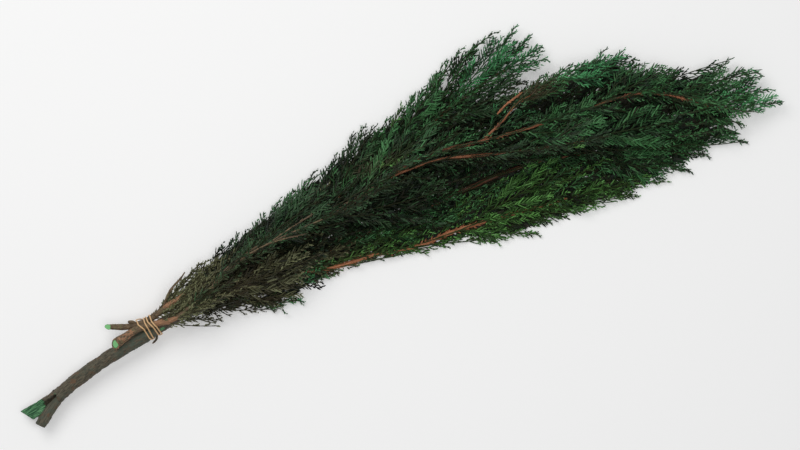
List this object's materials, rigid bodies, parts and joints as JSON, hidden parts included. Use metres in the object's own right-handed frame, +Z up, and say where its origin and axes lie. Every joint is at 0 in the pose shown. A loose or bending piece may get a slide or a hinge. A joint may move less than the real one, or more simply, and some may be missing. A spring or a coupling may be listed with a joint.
{
  "type": "preserved thuja bundle",
  "caption": "Cut thuja branches with flat sprays of dark green preserved scale leaves, tied near the cut stems with a thin rubber band and lying on a surface.",
  "frame": {"origin": "under the middle of the bundle's box, on the surface that the bundle lies on", "axes": "+X from the cut stems to the leaf tips, +Y across the bundle, +Z up from the surface"},
  "size_m": [0.8208, 0.2062, 0.0487],
  "materials": {
    "bark_grey": "dull grey-brown bark with olive mottling and rusty patches",
    "bark_brown": "thin brown bark, satin, with pale green cut faces",
    "bark_rust": "thin orange-brown bark with dry spiky stubs",
    "leaf_deep": "preserved scale leaves, blackish green, satin",
    "leaf_green": "preserved scale leaves, dark green, satin",
    "leaf_bright": "preserved scale leaves, clear green, satin",
    "leaf_yellow": "preserved scale leaves, yellowish green, satin",
    "leaf_olive": "thin browning scale leaves, olive, dull",
    "band": "natural tan rubber, smooth"
  },
  "bodies": {
    "root": {"thick_stem": "bark_grey", "upper_stem": "bark_brown", "middle_stem": "bark_brown", "thick_leader": "bark_rust", "lower_leader": "bark_rust", "upper_leader": "bark_rust", "inner_leader": "bark_rust", "far_leader": "bark_rust", "outer_leader": "bark_rust", "thick_frond_01": "leaf_olive", "thick_frond_02": "leaf_olive", "thick_frond_03": "leaf_olive", "thick_frond_04": "leaf_olive", "thick_frond_05": "leaf_green", "thick_frond_06": "leaf_yellow", "thick_frond_07": "leaf_yellow", "thick_frond_08": "leaf_yellow", "thick_frond_09": "leaf_yellow", "thick_frond_10": "leaf_yellow", "thick_frond_11": "leaf_green", "thick_frond_12": "leaf_green", "thick_frond_13": "leaf_green", "thick_frond_14": "leaf_green", "thick_frond_15": "leaf_deep", "thick_frond_16": "leaf_deep", "thick_frond_17": "leaf_deep", "thick_frond_18": "leaf_deep", "thick_frond_19": "leaf_green", "thick_frond_20": "leaf_yellow", "upper_frond_01": "leaf_olive", "upper_frond_02": "leaf_deep", "upper_frond_03": "leaf_deep", "upper_frond_04": "leaf_green", "upper_frond_05": "leaf_green", "upper_frond_06": "leaf_deep", "upper_frond_07": "leaf_bright", "upper_frond_08": "leaf_green", "upper_frond_09": "leaf_green", "upper_frond_10": "leaf_green", "upper_frond_11": "leaf_bright", "upper_frond_12": "leaf_bright", "upper_frond_13": "leaf_bright", "upper_frond_14": "leaf_olive", "upper_frond_15": "leaf_deep", "upper_frond_16": "leaf_deep", "upper_frond_17": "leaf_deep", "middle_frond_01": "leaf_olive", "middle_frond_02": "leaf_deep", "middle_frond_03": "leaf_deep", "middle_frond_04": "leaf_green", "middle_frond_05": "leaf_green", "middle_frond_06": "leaf_deep", "middle_frond_07": "leaf_green", "middle_frond_08": "leaf_bright", "middle_frond_09": "leaf_green", "middle_frond_10": "leaf_green", "middle_frond_11": "leaf_green", "middle_frond_12": "leaf_green", "middle_frond_13": "leaf_bright", "rubber_band": "band"}
  },
  "joints": []
}
